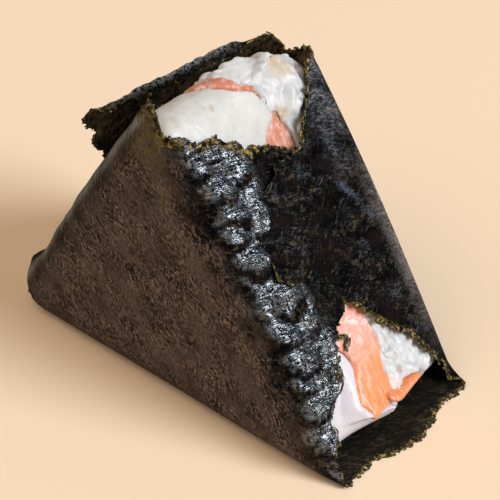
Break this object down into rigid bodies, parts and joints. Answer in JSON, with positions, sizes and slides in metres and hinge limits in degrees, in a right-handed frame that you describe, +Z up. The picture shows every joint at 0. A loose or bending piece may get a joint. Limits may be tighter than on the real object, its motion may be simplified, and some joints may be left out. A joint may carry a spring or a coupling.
{
  "type": "salmon cream cheese onigiri",
  "caption": "Triangular rice onigiri that stands on its side face, filled with cream cheese and salmon and wrapped in one folded sheet of nori.",
  "frame": {"origin": "on the table, on the flat underside of the nori, under the middle of the triangle's base", "axes": "+X along the base towards the corner whose end is open and shows the filling, +Y from the front face to the back face, +Z up"},
  "size_m": [0.091, 0.0444, 0.069],
  "materials": {
    "nori": "satin dried seaweed, near black with olive torn edges",
    "rice": "moist cooked white rice",
    "cream_cheese": "smooth ivory cream cheese, satin",
    "salmon": "moist orange pink salmon with pale streaks"
  },
  "bodies": {
    "root": {"nori_sheet": "nori", "rice": "rice", "cream_cheese": "cream_cheese", "salmon_strip": "salmon", "salmon_top_flake": "salmon", "salmon_corner_flake": "salmon"}
  },
  "joints": []
}
